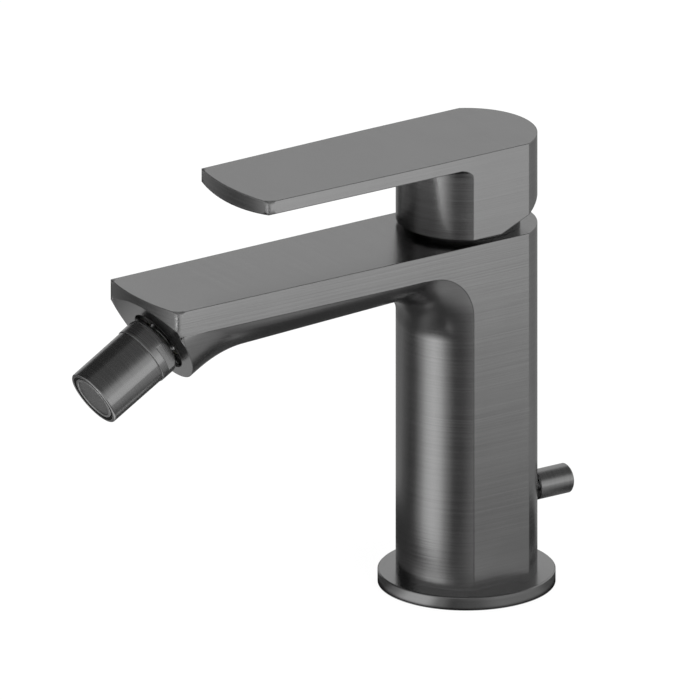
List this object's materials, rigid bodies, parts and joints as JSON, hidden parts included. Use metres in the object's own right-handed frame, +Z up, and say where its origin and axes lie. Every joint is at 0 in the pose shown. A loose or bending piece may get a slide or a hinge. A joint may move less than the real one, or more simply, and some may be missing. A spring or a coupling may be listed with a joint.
{
  "type": "bidet mixer",
  "caption": "Deck-mounted single-lever bidet mixer with a straight spout, a tilted swivel nozzle, a flat lever on a hub and a small lift knob for a pop-up waste behind the column.",
  "frame": {"origin": "centre of the base flange's underside, on the deck", "axes": "+Z up along the column, -Y along the spout, +Y towards the lift knob, +X to one of the column's side flats"},
  "size_m": [0.054, 0.1776, 0.1445],
  "materials": {
    "gunmetal_brass": "brushed gunmetal plating on brass",
    "gunmetal_cast": "brushed gunmetal plating on a zinc casting",
    "dark_cover": "satin dark gunmetal",
    "plain_brass": "turned, bare",
    "stainless": "plain stainless steel",
    "black_rubber": "smooth black rubber",
    "cartridge_plastic": "ivory acetal, matte",
    "ceramic": "lapped ceramic",
    "mesh_grey": "fine woven wire"
  },
  "bodies": {
    "mixer_body": {"body": "gunmetal_brass", "base_flange": "gunmetal_brass", "base_gasket": "black_rubber", "neck_cover": "dark_cover", "cartridge_nut": "plain_brass", "cartridge_housing": "cartridge_plastic", "housing_seal": "black_rubber", "fixed_disc": "ceramic", "cartridge_base": "cartridge_plastic", "inlet_seals": "black_rubber", "ball_seal": "black_rubber", "retaining_ring": "gunmetal_brass", "rod_bush": "cartridge_plastic"},
    "rotor": {"cartridge_rotor": "cartridge_plastic", "pivot_pin": "stainless"},
    "lever": {"lever_handle": "gunmetal_cast", "lever_stem": "stainless", "grub_screw": "stainless", "screw_cap": "gunmetal_cast"},
    "disc": {"moving_disc": "ceramic", "disc_carrier": "cartridge_plastic"},
    "slip_seat": {"ball_seat": "cartridge_plastic"},
    "nozzle": {"swivel_ball": "gunmetal_brass", "nozzle_shell": "gunmetal_brass", "nozzle_washer": "black_rubber", "aerator_insert": "stainless", "flow_regulator": "cartridge_plastic", "aerator_mesh": "mesh_grey", "outlet_seal": "black_rubber"},
    "lift": {"lift_knob": "gunmetal_brass", "knob_stem": "stainless", "lift_rod": "stainless"}
  },
  "joints": [
    {"name": "handle_turn", "type": "hinge", "parent": "mixer_body", "child": "rotor", "pos_m": [0, 0, 0.121], "axis": [0, 0, 1], "range_deg": [-45, 45]},
    {"name": "handle_lift", "type": "hinge", "parent": "rotor", "child": "lever", "pos_m": [0, 0, 0.121], "axis": [-1, 0, 0], "range_deg": [0, 23]},
    {"name": "disc_slide", "type": "slide", "parent": "rotor", "child": "disc", "axis": [0, -1, 0], "range_m": [0, 0.0045]},
    {"name": "nozzle_pitch", "type": "hinge", "parent": "mixer_body", "child": "slip_seat", "pos_m": [0, -0.10763, 0.10298], "axis": [1, 0, 0], "range_deg": [-6, 6]},
    {"name": "nozzle_yaw", "type": "hinge", "parent": "slip_seat", "child": "nozzle", "pos_m": [0, -0.10763, 0.10298], "axis": [0, -0.5, 0.866], "range_deg": [-6, 6]},
    {"name": "knob_lift", "type": "slide", "parent": "mixer_body", "child": "lift", "axis": [0, 0, 1], "range_m": [0, 0.016]}
  ],
  "couplings": [
    {"joint": "disc_slide", "follows": "handle_lift", "m_per_rad": 0.011}
  ]
}
